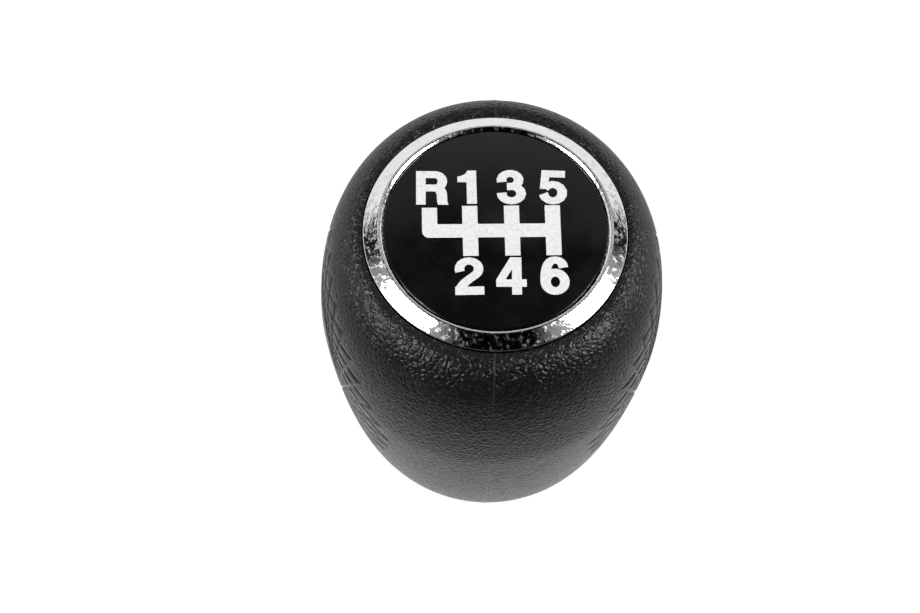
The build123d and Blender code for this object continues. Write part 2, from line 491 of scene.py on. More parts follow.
def gloss_black_abs():
    """Black ABS, moulded in a polished tool.

    The eye sees deep black with a clear reflection, dulled in soft patches where it was handled.
    """
    material, tree = new_material("black_abs_polished_moulding")
    smear_width, dust_width = 6.0, 0.5
    clean, handled = 0.05, 0.16  # roughness
    place = add_node(tree, "ShaderNodeTexCoord").outputs["Object"]
    smears, dust = [
        add_node(
            tree, "ShaderNodeTexNoise", {"Vector": place, "Scale": per_metre(width), "Detail": detail}
        )
        for width, detail in ((smear_width, 4.0), (dust_width, 2.0))
    ]
    gloss = add_node(
        tree,
        "ShaderNodeMapRange",
        {
            "Value": smears.outputs["Fac"],
            "From Min": 0.35,
            "From Max": 0.7,
            "To Min": clean,
            "To Max": handled,
        },
    )
    bloom = add_node(
        tree, "ShaderNodeMapRange", {"Value": dust.outputs["Fac"], "From Min": 0.6, "From Max": 0.8}
    )
    shade = add_node(
        tree,
        "ShaderNodeMix",
        {0: bloom.outputs[0], 6: linear("#0B0B0C"), 7: linear("#1C1C1D")},
        data_type="RGBA",
    )
    surface = add_node(
        tree,
        "ShaderNodeBsdfPrincipled",
        {"Base Color": shade.outputs[2], "Roughness": gloss.outputs[0], "IOR": 1.53},
    )
    add_node(tree, "ShaderNodeOutputMaterial", {"Surface": surface.outputs[0]})
    return material


def white_pad_ink():
    """White pad-printing ink.

    The eye sees an even, slightly chalky white with faint mottling and a few pinholes.
    """
    material, tree = new_material("white_pad_printed_ink")
    mottle_width, pinhole_width = 0.5, 0.28
    place = add_node(tree, "ShaderNodeTexCoord").outputs["Object"]
    mottle, holes = [
        add_node(
            tree, "ShaderNodeTexNoise", {"Vector": place, "Scale": per_metre(width), "Detail": detail}
        )
        for width, detail in ((mottle_width, 3.0), (pinhole_width, 1.0))
    ]
    even = add_node(
        tree, "ShaderNodeMapRange", {"Value": mottle.outputs["Fac"], "From Min": 0.3, "From Max": 0.7}
    )
    white = add_node(
        tree,
        "ShaderNodeMix",
        {0: even.outputs[0], 6: linear("#DEDEDE"), 7: linear("#F2F2F1")},
        data_type="RGBA",
    )
    pinholes = add_node(
        tree, "ShaderNodeMapRange", {"Value": holes.outputs["Fac"], "From Min": 0.74, "From Max": 0.8}
    )
    shade = add_node(
        tree,
        "ShaderNodeMix",
        {0: pinholes.outputs[0], 6: white.outputs[2], 7: linear("#6E6E6E")},
        data_type="RGBA",
    )
    surface = add_node(
        tree,
        "ShaderNodeBsdfPrincipled",
        {"Base Color": shade.outputs[2], "Roughness": 0.55, "IOR": 1.5, "Specular IOR Level": 0.3},
    )
    add_node(tree, "ShaderNodeOutputMaterial", {"Surface": surface.outputs[0]})
    return material


def turned_brass():
    """Free-cutting brass, turned on a lathe.

    The eye sees a warm yellow metal with fine tool marks round it. The marks are drawn coarser
    than real ones so that they show.
    """
    material, tree = new_material("brass_turned")
    mark_width, stain_width = 2.2, 2.5
    mark_depth = 0.02
    wave_turns = 20 / (2 * pi)  # that the wave texture makes in one unit
    fresh, stained = 0.24, 0.42  # roughness
    place = add_node(tree, "ShaderNodeTexCoord").outputs["Object"]
    marks = add_node(
        tree,
        "ShaderNodeTexWave",
        {
            "Vector": place,
            "Scale": per_metre(mark_width) / wave_turns,
            "Distortion": 1.5,
            "Detail": 2.0,
        },
        wave_type="BANDS",
        bands_direction="Z",
    )
    stain = add_node(
        tree, "ShaderNodeTexNoise", {"Vector": place, "Scale": per_metre(stain_width), "Detail": 3.0}
    )
    tone = add_node(
        tree,
        "ShaderNodeMix",
        {0: stain.outputs["Fac"], 6: linear("#A98643"), 7: linear("#CDAE6A")},
        data_type="RGBA",
    )
    dulled = add_node(
        tree,
        "ShaderNodeMapRange",
        {
            "Value": stain.outputs["Fac"],
            "From Min": 0.3,
            "From Max": 0.7,
            "To Min": fresh,
            "To Max": stained,
        },
    )
    bump = add_node(
        tree,
        "ShaderNodeBump",
        {"Strength": 0.6, "Distance": mark_depth * MM, "Height": marks.outputs["Fac"]},
    )
    surface = add_node(
        tree,
        "ShaderNodeBsdfPrincipled",
        {
            "Base Color": tone.outputs[2],
            "Metallic": 1.0,
            "Roughness": dulled.outputs[0],
            "Normal": bump.outputs[0],
        },
    )
    add_node(tree, "ShaderNodeOutputMaterial", {"Surface": surface.outputs[0]})
    return material


def eroded_polypropylene():
    """Black filled polypropylene, moulded in a spark-eroded tool.

    The eye sees a dull, even black with a fine sandy tooth.
    """
    material, tree = new_material("polypropylene_spark_eroded_moulding")
    tooth_width, flow_width = 0.3, 8.0
    tooth_depth = 0.05
    place = add_node(tree, "ShaderNodeTexCoord").outputs["Object"]
    tooth, flow = [
        add_node(tree, "ShaderNodeTexNoise", {"Vector": place, "Scale": per_metre(width), "Detail": 2.0})
        for width in (tooth_width, flow_width)
    ]
    shade = add_node(
        tree,
        "ShaderNodeMix",
        {0: flow.outputs["Fac"], 6: linear("#1B1B1C"), 7: linear("#29292A")},
        data_type="RGBA",
    )
    bump = add_node(
        tree,
        "ShaderNodeBump",
        {"Strength": 0.8, "Distance": tooth_depth * MM, "Height": tooth.outputs["Fac"]},
    )
    surface = add_node(
        tree,
        "ShaderNodeBsdfPrincipled",
        {"Base Color": shade.outputs[2], "Roughness": 0.62, "Normal": bump.outputs[0], "IOR": 1.49},
    )
    add_node(tree, "ShaderNodeOutputMaterial", {"Surface": surface.outputs[0]})
    return material


# Cover: an oval form with crossing grooves on its sides and a parting line front and back


half_width = cover_high.x
depth_ratio = (min(cover_high.y, -cover_low.y) - PARTING_RISE) / half_width
shoulder = cover_high.z
pocket_r = ring_r + RING_GAP
lip_r = pocket_r + LIP_WIDTH
foot_r = half_width - FOOT_INSET
base_r = foot_r - BASE_ROUND * cos(FOOT_SLOPE)
foot_z = BASE_ROUND * (1 - sin(FOOT_SLOPE))
flank_rise = WIDEST_HEIGHT - foot_z
crown_rise = shoulder - WIDEST_HEIGHT

side_outline = np.vstack(
    [
        arc_points((base_r, BASE_ROUND), (BASE_ROUND, BASE_ROUND), -90, -degrees(FOOT_SLOPE), 24)[:-1],
        bezier_points(
            (foot_r, foot_z),
            (
                foot_r + FOOT_PULL * flank_rise * sin(FOOT_SLOPE),
                foot_z + FOOT_PULL * flank_rise * cos(FOOT_SLOPE),
            ),
            (half_width, WIDEST_HEIGHT - FLANK_PULL * flank_rise),
            (half_width, WIDEST_HEIGHT),
        )[:-1],
        bezier_points(
            (half_width, WIDEST_HEIGHT),
            (half_width, WIDEST_HEIGHT + CROWN_PULL * crown_rise),
            (lip_r + SHOULDER_REACH * (half_width - lip_r), shoulder - SHOULDER_DROP * crown_rise),
            (lip_r, shoulder),
        ),
    ]
)
along = np.concatenate([[0], np.cumsum(np.hypot(*np.diff(side_outline, axis=0).T))])
outline_length = along[-1]
steepness = np.gradient(side_outline, along, axis=0)


def radius_at(distance):
    """Half width of the cover, at a distance along its side outline."""
    return np.interp(distance, along, side_outline[:, 0])


def cover_points(angle, distance):
    """Points of the smooth cover and the way out from it, at angles round it and along its outline."""
    radius = radius_at(distance)
    height = np.interp(distance, along, side_outline[:, 1])
    spread = np.interp(distance, along, steepness[:, 0])
    climb = np.interp(distance, along, steepness[:, 1])
    points = np.column_stack([radius * np.cos(angle), radius * depth_ratio * np.sin(angle), height])
    outwards = np.column_stack(
        [depth_ratio * climb * np.cos(angle), climb * np.sin(angle), -depth_ratio * spread]
    )
    return points, outwards / np.linalg.norm(outwards, axis=1)[:, None]


def panel_chord(number, steps=36):
    """Angles and distances along one straight groove of a panel, seen from the side."""
    ends = []
    for point in (number, number + PANEL_SKIP):
        turn = 2 * pi * (point + PANEL_TURN) / PANEL_POINTS
        ends.append((PANEL_RADIUS * cos(turn), PANEL_HEIGHT + PANEL_RADIUS * sin(turn)))
    share = np.linspace(0, 1, steps + 1)
    across = ends[0][0] + share * (ends[1][0] - ends[0][0])
    distance = np.interp(ends[0][1] + share * (ends[1][1] - ends[0][1]), side_outline[:, 1], along)
    return np.arcsin(across / (radius_at(distance) * depth_ratio)), distance


def beside(angle, distance, offset):
    """A line on the cover that runs beside another one."""
    round_scale = radius_at(distance) * np.hypot(np.sin(angle), depth_ratio * np.cos(angle))
    run_round = np.gradient(angle) * round_scale
    run_up = np.gradient(distance)
    length = np.hypot(run_round, run_up)
    return angle - offset * run_up / length / round_scale, distance + offset * run_round / length


def distance_to_lines(points, lines):
    """Shortest distance from each point to a set of lines."""
    nearest = np.full(len(points), np.inf)
    for line in lines:
        starts, spans = line[:-1], np.diff(line, axis=0)
        offset = points[:, None] - starts[None]
        share = np.clip((offset * spans).sum(2) / (spans**2).sum(1), 0, 1)
        gaps = np.linalg.norm(offset - share[..., None] * spans, axis=2).min(1)
        nearest = np.minimum(nearest, gaps)
    return nearest


def half_cover():
    """The right half of the cover's outside, meshed along its grooves and its parting line."""
    chords = [panel_chord(number) for number in range(PANEL_POINTS)]
    chord_lines = [cover_points(*chord)[0] for chord in chords]
    edge_angle = np.linspace(-pi / 2, pi / 2, COVER_STEPS + 1)
    edge_distance = np.linspace(0, outline_length, round(outline_length / COVER_SPACING) + 1)
    run = np.clip(edge_distance, PARTING_START, outline_length - PARTING_START)
    lines = [
        (edge_angle, np.zeros_like(edge_angle)),
        (edge_angle, np.full_like(edge_angle, outline_length)),
    ]
    for side in (-1, 1):
        lines.append((np.full_like(edge_distance, side * pi / 2), edge_distance))
        for offset in (PARTING_WIDTH / 2, PARTING_WIDTH / 2 + PARTING_SKIRT):
            lines.append((side * (pi / 2 - offset / radius_at(run)), run))
    for chord in chords:
        for share in (-0.5, -GROOVE_FLOOR / 2, GROOVE_FLOOR / 2, 0.5):
            lines.append(beside(*chord, share * GROOVE_WIDTH))

    flat, edges = [], []
    for angle, distance in lines:
        start = len(flat)
        flat.extend(zip(angle * half_width, distance))
        edges.extend((start + step, start + step + 1) for step in range(len(angle) - 1))

    # Even points over the rest of the surface
    filled_angle, filled_distance = [], []
    rows = np.arange(COVER_SPACING, outline_length - COVER_SPACING / 2, COVER_SPACING)
    for row, distance in enumerate(rows):
        count = round(pi * radius_at(distance) / COVER_SPACING)
        shares = (np.arange(1, count) + 0.5 * (row % 2)) / count
        filled_angle.extend(-pi / 2 + pi * shares)
        filled_distance.extend(np.full(len(shares), distance))
    filled_angle, filled_distance = np.array(filled_angle), np.array(filled_distance)
    points = cover_points(filled_angle, filled_distance)[0]
    off_grooves = distance_to_lines(points, chord_lines) > COVER_SPACING / 2
    free = off_grooves & (points[:, 0] > COVER_SPACING)
    flat.extend(zip(filled_angle[free] * half_width, filled_distance[free]))

    merge = 0.004
    spots, _, faces, _, _, _ = delaunay_2d_cdt([Vector(p) for p in flat], edges, [], 0, merge)
    spots = np.array([tuple(p) for p in spots])
    angle, distance = spots[:, 0] / half_width, spots[:, 1]
    points, outwards = cover_points(angle, distance)
    gap = distance_to_lines(points, chord_lines)
    wall = GROOVE_WIDTH * (1 - GROOVE_FLOOR) / 2
    sunk = np.clip((GROOVE_WIDTH / 2 - gap) / wall, 0, 1)
    from_end = np.minimum(distance, outline_length - distance)
    ends = np.clip((from_end - PARTING_START) / PARTING_RUN_OUT, 0, 1)
    skirt = np.clip(1 - (points[:, 0] - PARTING_WIDTH / 2) / PARTING_SKIRT, 0, 1)
    raised = PARTING_RISE * ends * skirt
    return points + outwards * (raised - GROOVE_DEPTH * sunk)[:, None], faces, sunk


def build_cover(material):
    """Both halves of the outside, closed by the pocket, the cavity for the core and the base."""
    right, right_faces, sunk = half_cover()
    left = right * (-1, 1, 1)
    vertices = np.vstack([right, left])
    faces = [tuple(f) for f in right_faces]
    faces += [tuple(len(right) + v for v in reversed(f)) for f in right_faces]

    angles = -pi / 2 + np.arange(2 * COVER_STEPS) * pi / COVER_STEPS
    ease = 0.3 * LIP_ROUND  # of the middle point of the rounded lip
    sections = [(lip_r, lip_r * depth_ratio, shoulder)]
    for radius, height in (
        (pocket_r + LIP_ROUND, shoulder),
        (pocket_r + ease, shoulder - ease),
        (pocket_r, shoulder - LIP_ROUND),
        (pocket_r, seat_z),
        (core_high.x, seat_z),
        (core_high.x, PLATE_HEIGHT),
        (NECK_RADIUS, PLATE_HEIGHT),
        (NECK_RADIUS, FLANGE_TOP),
        (FLANGE_RADIUS, FLANGE_TOP),
        (FLANGE_RADIUS, 0),
    ):
        sections.append((radius, radius, height))
    sections.append((base_r, base_r * depth_ratio, 0))
    inside = np.vstack(
        [
            np.column_stack([rx * np.cos(angles), ry * np.sin(angles), np.full_like(angles, z)])
            for rx, ry, z in sections
        ]
    )
    faces += [
        tuple(len(vertices) + v for v in f) for f in ring_faces(len(sections), len(angles))
    ]
    grooved = np.concatenate([sunk, sunk, np.zeros(len(inside))])
    cover = finished_mesh(
        "grained_cover", np.vstack([vertices, inside]), faces, sharp_angle=62, marks={"groove": grooved}
    )
    cover.data.materials.append(material)
    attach(cover, "root")
    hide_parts("grip_cover")


# Pieces that are swept along a path by Geometry Nodes


def sweep_tree(name, sizes):
    """An empty Geometry Nodes tree that takes a profile and named sizes, with its end nodes."""
    tree = bpy.data.node_groups.new(name, "GeometryNodeTree")
    tree.interface.new_socket("Profile", in_out="INPUT", socket_type="NodeSocketGeometry")
    for size, value in sizes.items():
        kind = "NodeSocketInt" if isinstance(value, int) else "NodeSocketFloat"
        tree.interface.new_socket(size, in_out="INPUT", socket_type=kind)
    tree.interface.new_socket("Mesh", in_out="OUTPUT", socket_type="NodeSocketGeometry")
    return tree, add_node(tree, "NodeGroupInput"), add_node(tree, "NodeGroupOutput")


def swept_along(tree, path, profile, caps=False):
    """A profile swept along a path, kept upright all the way."""
    level = add_node(tree, "GeometryNodeSetCurveNormal", {"Curve": path.outputs[0]}, mode="Z_UP")
    return add_node(
        tree,
        "GeometryNodeCurveToMesh",
        {"Curve": level.outputs[0], "Profile Curve": profile, "Fill Caps": caps},
    )


def close_tree(tree, end, mesh, material):
    """Realises a tree's instances, gives them their material and hands them out."""
    whole = add_node(tree, "GeometryNodeRealizeInstances", {"Geometry": mesh})
    finished = add_node(
        tree, "GeometryNodeSetMaterial", {"Geometry": whole.outputs[0], "Material": material}
    )
    tree.links.new(finished.outputs[0], end.inputs["Mesh"])


def swept_piece(name, outline, tree, sizes, sharp_angle):
    """A plain mesh object from a profile in millimetres and a tree that sweeps it."""
    curve = bpy.data.curves.new(name + "_profile", "CURVE")
    curve.dimensions = "2D"
    curve.fill_mode = "NONE"
    spline = curve.splines.new("POLY")
    spline.points.add(len(outline) - 1)
    for point, (x, y) in zip(spline.points, outline):
        point.co = (x * MM, y * MM, 0, 1)
    spline.use_cyclic_u = True
    source = bpy.data.objects.new(name + "_profile", curve)
    bpy.context.scene.collection.objects.link(source)
    modifier = source.modifiers.new("sweep", "NODES")
    modifier.node_group = tree
    for item in tree.interface.items_tree:
        if item.in_out == "INPUT" and item.name in sizes:
            modifier[item.identifier] = sizes[item.name]
    evaluated = source.evaluated_get(bpy.context.evaluated_depsgraph_get())
    mesh = bpy.data.meshes.new_from_object(evaluated)
    bpy.data.objects.remove(source)
    mesh.name = name
    return finished_object(name, mesh, sharp_angle)


def build_ring(material):
    """The trim ring: its profile swept round a circle, with locating pegs under it."""
    sizes = {
        "Path Radius": ring_r * MM,
        "Path Points": ROUND_STEPS,
        "Peg Count": PEG_COUNT,
        "Peg Circle": (ledge_r + ring_r) / 2 * MM,
        "Peg Radius": PEG_DIAMETER / 2 * MM,
        "Peg Length": PEG_LENGTH * MM,
        "Peg Height": (seat_z - PEG_LENGTH / 2) * MM,
        "Peg Turn": pi / PEG_COUNT,
    }
    tree, start, end = sweep_tree("ring_sweep", sizes)
    path = add_node(
        tree,
        "GeometryNodeCurvePrimitiveCircle",
        {"Radius": start.outputs["Path Radius"], "Resolution": start.outputs["Path Points"]},
    )
    swept = swept_along(tree, path, start.outputs["Profile"])
    peg_path = add_node(
        tree,
        "GeometryNodeCurvePrimitiveCircle",
        {"Radius": start.outputs["Peg Circle"], "Resolution": start.outputs["Peg Count"]},
    )
    lift, twist = [
        add_node(tree, "ShaderNodeCombineXYZ", {"Z": start.outputs[size]})
        for size in ("Peg Height", "Peg Turn")
    ]
    placed = add_node(
        tree,
        "GeometryNodeTransform",
        {"Geometry": peg_path.outputs[0], "Translation": lift.outputs[0], "Rotation": twist.outputs[0]},
    )
    peg = add_node(
        tree,
        "GeometryNodeMeshCylinder",
        {
            "Vertices": PEG_STEPS,
            "Radius": start.outputs["Peg Radius"],
            "Depth": start.outputs["Peg Length"],
        },
    )
    pegs = add_node(
        tree, "GeometryNodeInstanceOnPoints", {"Points": placed.outputs[0], "Instance": peg.outputs[0]}
    )
    joined = add_node(tree, "GeometryNodeJoinGeometry", {"Geometry": swept.outputs[0]})
    tree.links.new(pegs.outputs[0], joined.inputs[0])
    close_tree(tree, end, joined.outputs[0], material)
    crest_z = ring_rim + RING_RISE * (1 - CREST_WIDTH / RING_WIDTH)
    section = [
        (ledge_r, seat_z, 0),
        (ring_r, seat_z, 0),
        (ring_r, ring_rim, RIM_ROUND),
        (opening_r + CREST_WIDTH, crest_z, CREST_ROUND),
        (opening_r, crest_z - CREST_WIDTH * tan(CREST_SLOPE), CREST_FOOT_ROUND),
        (opening_r, seat_z + LEDGE_THICKNESS, 0),
        (ledge_r, seat_z + LEDGE_THICKNESS, 0),
    ]
    # The sweep turns a profile's x outwards from the path and its y downwards
    outline = [(x - ring_r, -y) for x, y in rounded_outline(section)]
    ring = swept_piece("chromed_ring", outline, tree, sizes, sharp_angle=40)
    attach(ring, "root")
    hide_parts("trim_ring")


thread_major_r = THREAD_DIAMETER / 2
thread_minor_r = (THREAD_DIAMETER - THREAD_HEIGHT * THREAD_PITCH) / 2
flats_r = insert_high.y


def build_insert(material):
    """The hexagonal insert: its groove, and a blind bore at the thread's major diameter."""
    angles = np.linspace(0, 2 * pi, ROUND_STEPS // 2, endpoint=False)
    facet = 2 * pi / INSERT_SIDES
    hexagon = flats_r / np.cos((angles + facet / 2) % facet - facet / 2)
    hexagon = np.roll(hexagon, len(angles) // (2 * INSERT_SIDES))
    waist = np.minimum(hexagon, flats_r - INSERT_GROOVE_DEPTH)
    middle = (insert_low.z + insert_high.z) / 2
    bottom, top = insert_low.z, insert_high.z
    blind = bottom + THREAD_DEPTH
    level = np.ones_like(angles)
    sections = [
        (hexagon, bottom),
        (hexagon, middle - INSERT_GROOVE_WIDTH / 2),
        (waist, middle - INSERT_GROOVE_WIDTH / 2),
        (waist, middle + INSERT_GROOVE_WIDTH / 2),
        (hexagon, middle + INSERT_GROOVE_WIDTH / 2),
        (hexagon, top),
        (0 * level, top),
        (0 * level, blind + thread_minor_r * tan(DRILL_POINT)),
        (thread_minor_r * level, blind),
        (thread_minor_r * level, blind - THREAD_PITCH),
        (thread_major_r * level, blind - THREAD_PITCH),
        (thread_major_r * level, bottom + THREAD_LEAD_IN / 4),
        ((thread_major_r + THREAD_LEAD_IN / 4) * level, bottom),
    ]
    vertices = np.vstack(
        [np.column_stack([r * np.cos(angles), r * np.sin(angles), z * level]) for r, z in sections]
    )
    faces = ring_faces(len(sections), len(angles), closed=True)
    insert = finished_mesh("hexagon_insert", vertices, faces, sharp_angle=30)
    insert.data.materials.append(material)
    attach(insert, "root")
    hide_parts("threaded_insert")


def build_thread(material):
    """The lever thread: a ridge swept up the bore along a right-hand helix."""
    turns = (THREAD_DEPTH - 2 * THREAD_PITCH) / THREAD_PITCH
    sizes = {
        "Bore Radius": thread_major_r * MM,
        "Turns": turns,
        "Rise": turns * THREAD_PITCH * MM,
        "Start Height": (insert_low.z + THREAD_PITCH / 2) * MM,
        "Points per Turn": THREAD_STEPS,
    }
    tree, start, end = sweep_tree("thread_sweep", sizes)
    path = add_node(
        tree,
        "GeometryNodeCurveSpiral",
        {
            "Resolution": start.outputs["Points per Turn"],
            "Rotations": start.outputs["Turns"],
            "Start Radius": start.outputs["Bore Radius"],
            "End Radius": start.outputs["Bore Radius"],
            "Height": start.outputs["Rise"],
            "Reverse": True,
        },
    )
    swept = swept_along(tree, path, start.outputs["Profile"], caps=True)
    lift = add_node(tree, "ShaderNodeCombineXYZ", {"Z": start.outputs["Start Height"]})
    placed = add_node(
        tree, "GeometryNodeTransform", {"Geometry": swept.outputs[0], "Translation": lift.outputs[0]}
    )
    close_tree(tree, end, placed.outputs[0], material)
    root = THREAD_PITCH * 7 / 16
    crest = THREAD_PITCH / 8
    depth = thread_major_r - thread_minor_r
    outline = [(THREAD_FOOT, -root), (-depth, -crest), (-depth, crest), (THREAD_FOOT, root)]
    thread = swept_piece("lever_thread", outline, tree, sizes, sharp_angle=30)
    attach(thread, "root")


# Shift pattern, printed on the cap

GATE_COLUMNS = (-9.07, -3.36, 2.57, 8.37)
GATE_WIDTH = 2.16
GATE_TOP = 3.8
GATE_R_TOP = 3.55
GATE_MIDDLE = -0.2
GATE_BOTTOM = -4.22
GATE_CORNER = 1.0
PRINT_TURN = 1.8
PRINT_CENTRE = (-0.23, -0.14)
INK_LIFT = 0.002
INK_THICKNESS = 0.02
STEM = 1.42  # width of an upright stroke
BEAM = 1.12  # width of a level stroke


def stroke(points):
    """Outline of a pen stroke along a line: broad where it runs upright, narrower where level."""
    points = np.array(points)
    run = np.gradient(points, axis=0)
    run /= np.hypot(*run.T)[:, None]
    width = np.hypot(STEM * run[:, 1], BEAM * run[:, 0])[:, None]
    side = np.column_stack([-run[:, 1], run[:, 0]]) * width / 2
    return [tuple(p) for p in np.vstack([points + side, (points - side)[::-1]])]


# The figures, each drawn from its lower left corner: outlines to fill, and outlines to leave open


def figure_r():
    stem = [(0, 0), (STEM, 0), (STEM, 5.45), (0, 5.45)]
    bowl = stroke(
        np.vstack([[(0.6, 4.89)], arc_points((2.82, 3.8), (1.07, 1.09), 90, -90), [(0.6, 2.71)]])
    )
    bend = bezier_points((4.0, 2.85), (4.55, 2.5), (4.6, 2.0), (4.62, 0.6), 8)
    leg = [(2.6, 2.6), *map(tuple, bend), (4.8, 0.0), (3.25, 0.0), (3.12, 0.5), (3.05, 1.7), (2.85, 2.1)]
    return [stem, bowl, leg], []


def figure_1():
    flag = bezier_points((1.5, 5.4), (1.25, 4.7), (0.75, 4.6), (0, 4.42), 8)
    return [[(1.36, 0), (2.84, 0), (2.84, 5.4), *map(tuple, flag), (0, 3.52), (1.36, 3.52)]], []


def figure_2():
    top = arc_points((2.14, 4.1), (1.42, 1.26), 200, -25)
    slope = bezier_points(top[-1], (3.0, 2.85), (0.85, 2.0), (0.72, 0.67))
    return [stroke(np.vstack([top, slope[1:]])), [(0, 0), (4.29, 0), (4.29, 1.3), (0, 1.3)]], []


def figure_3():
    upper = np.vstack([arc_points((2.0, 3.96), (1.24, 1.08), 196, -90), [(1.5, 2.88)]])
    lower = np.vstack([[(1.5, 2.92)], arc_points((2.09, 1.75), (1.4, 1.19), 90, -188)])
    return [stroke(upper), stroke(lower)], []


def figure_4():
    outside = [
        (2.3, 0), (3.74, 0), (3.74, 1.23), (4.46, 1.23), (4.46, 2.4), (3.74, 2.4),
        (3.74, 5.9), (2.1, 5.9), (0, 2.35), (0, 1.23), (2.3, 1.23),
    ]
    return [outside], [[(1.38, 2.4), (2.32, 2.4), (2.32, 3.98)]]


def figure_5():
    flag = [
        (0.38, 5.5), (3.75, 5.5), (3.75, 4.4), (1.5, 4.4), (1.42, 3.6), (1.36, 2.44), (0.16, 2.44)
    ]
    return [flag, stroke(arc_points((2.05, 1.89), (1.37, 1.34), 146, -170))], []


def figure_6():
    bowl = arc_points((2.16, 2.06), (2.13, 2.06), 0, 345, 40)
    eye = arc_points((2.2, 2.04), (0.68, 0.84), 0, 345, 30)
    back = np.vstack(
        [
            bezier_points((0.72, 2.0), (0.68, 4.0), (1.05, 5.5), (2.2, 5.5), 16),
            bezier_points((2.2, 5.5), (2.95, 5.5), (3.3, 5.0), (3.4, 4.3), 10)[1:],
        ]
    )
    return [[tuple(p) for p in bowl], stroke(back)], [[tuple(p) for p in eye]]


# Each figure with its lower left corner, its width as a share, and its own small turn, as printed
FIGURES = (
    (figure_r, (-10.9, 4.05), 0.96, -1.0),
    (figure_1, (-5.0, 4.15), 0.95, 0.0),
    (figure_3, (0.55, 4.0), 0.99, 1.0),
    (figure_5, (6.55, 3.95), 0.99, -3.0),
    (figure_2, (-5.7, -10.38), 0.95, 0.5),
    (figure_4, (0.1, -10.4), 0.96, -0.7),
    (figure_6, (6.3, -10.5), 0.96, -1.5),
)


def turned(shape, centre, angle):
    """A flat outline turned about a point."""
    spin = Matrix.Rotation(radians(angle), 2)
    return [Vector(centre) + spin @ (Vector(p) - Vector(centre)) for p in shape]


def pattern_shapes():
    """Outlines of the gate and the figures, to fill and to leave open."""
    left = GATE_COLUMNS[0] - GATE_WIDTH / 2
    right = GATE_COLUMNS[-1] + GATE_WIDTH / 2
    half = GATE_WIDTH / 2
    low, high = GATE_MIDDLE - half, GATE_MIDDLE + half
    bar = [(left, low, GATE_CORNER), (right, low, 0), (right, high, 0), (left, high, 0)]
    filled = [rounded_outline(bar)]
    for number, column in enumerate(GATE_COLUMNS):
        foot, head = (GATE_MIDDLE, GATE_R_TOP) if number == 0 else (GATE_BOTTOM, GATE_TOP)
        x0, x1 = column - half, column + half
        filled.append([(x0, foot), (x1, foot), (x1, head), (x0, head)])
    opened = []
    for figure, corner, share, turn in FIGURES:
        solids, holes = figure()
        everything = np.array([p for shape in solids for p in shape])
        centre = (everything.min(0) + everything.max(0)) / 2
        for shapes, target in ((solids, filled), (holes, opened)):
            for shape in shapes:
                placed = turned(shape, centre, turn)
                target.append([Vector((corner[0] + share * p.x, corner[1] + p.y)) for p in placed])
    middle = Vector(PRINT_CENTRE)
    return [
        [[middle + p for p in turned(shape, (0, 0), PRINT_TURN)] for shape in group]
        for group in (filled, opened)
    ]


def build_print(material):
    """The shift pattern as one thin film of ink on the cap."""
    filled, opened = pattern_shapes()
    spots, faces = [], []
    for shape in filled + opened:
        area = sum(a.cross(b) for a, b in zip(shape, shape[1:] + shape[:1]))
        faces.append(list(range(len(spots), len(spots) + len(shape))))
        spots.extend(shape if area > 0 else reversed(shape))
    spots, _, triangles, _, _, origins = delaunay_2d_cdt(spots, [], faces, 1, DOUBLES)
    kept = [
        triangle
        for triangle, origin in zip(triangles, origins)
        if origin and max(origin) < len(filled)
    ]

    # Underside, top, and a wall along each side that only one triangle has
    sides = [side for triangle in kept for side in zip(triangle, triangle[1:] + triangle[:1])]
    known = set(sides)
    rim = [(a, b) for a, b in sides if (b, a) not in known]
    count = len(spots)
    film = [tuple(reversed(triangle)) for triangle in kept]
    film += [tuple(v + count for v in triangle) for triangle in kept]
    film += [(a, b, b + count, a + count) for a, b in rim]
    under = cap_high.z + INK_LIFT
    vertices = [(p.x, p.y, height) for height in (under, under + INK_THICKNESS) for p in spots]
    ink = finished_mesh("shift_pattern_print", vertices, film, sharp_angle=30)
    ink.data.materials.append(material)
    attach(ink, "root")


# Stage, in metres, with its light, and the camera, in millimetres

FLOOR_SIZE = 6.0
FLOOR_GLOW = 0.86
FLOOR_LIGHT = (0.12, 1.0)  # in reflections, from the front to the back
FLOOR_REACH = (-0.15, 0.2)
NEAR_LIGHT = 0.75  # more of it, close to the knob
NEAR_REACH = (0.025, 0.06)
SOFTBOX_SIZE = (0.26, 0.33)
SOFTBOX_DISTANCE = 0.6
SOFTBOX_HEIGHT = radians(37.5)
SOFTBOX_TURNS = {"softbox_left": -radians(110), "softbox_right": radians(101)}  # from straight behind
SOFTBOX_POWER = 2.5
HALO_LIGHT = 0.5  # spill on the wall round each softbox
HALO_REACH = (cos(radians(34)), cos(radians(10)))
HORIZON_LIGHT = 0.98
CEILING_LIGHT = 0.012
HORIZON_EDGE = (0.332, 0.348)  # between the two
HORIZON_TILT = 0.06  # higher on the left
FRONT_LIGHT = 0.1  # share of the light that is left straight in front
FRONT_REACH = (-0.5, 0.1)
BACK_PANEL_LIGHT = 0.75
BACK_PANEL_FOOT = (sin(radians(38)), sin(radians(42)))
BACK_PANEL_HEAD = (sin(radians(58.8)), sin(radians(61.6)))
BACK_PANEL_SIDES = (0.25, 0.4)

PHOTO_WIDTH = 920
FOCAL_PIXELS = 3100
SENSOR_WIDTH = 36.0
CAMERA_PLACE = (-11.83, -209.1, 436.48)
CAMERA_PITCH = radians(62.927)
CAMERA_YAW = radians(-2.014)
CAMERA_ROLL = radians(-2.859)


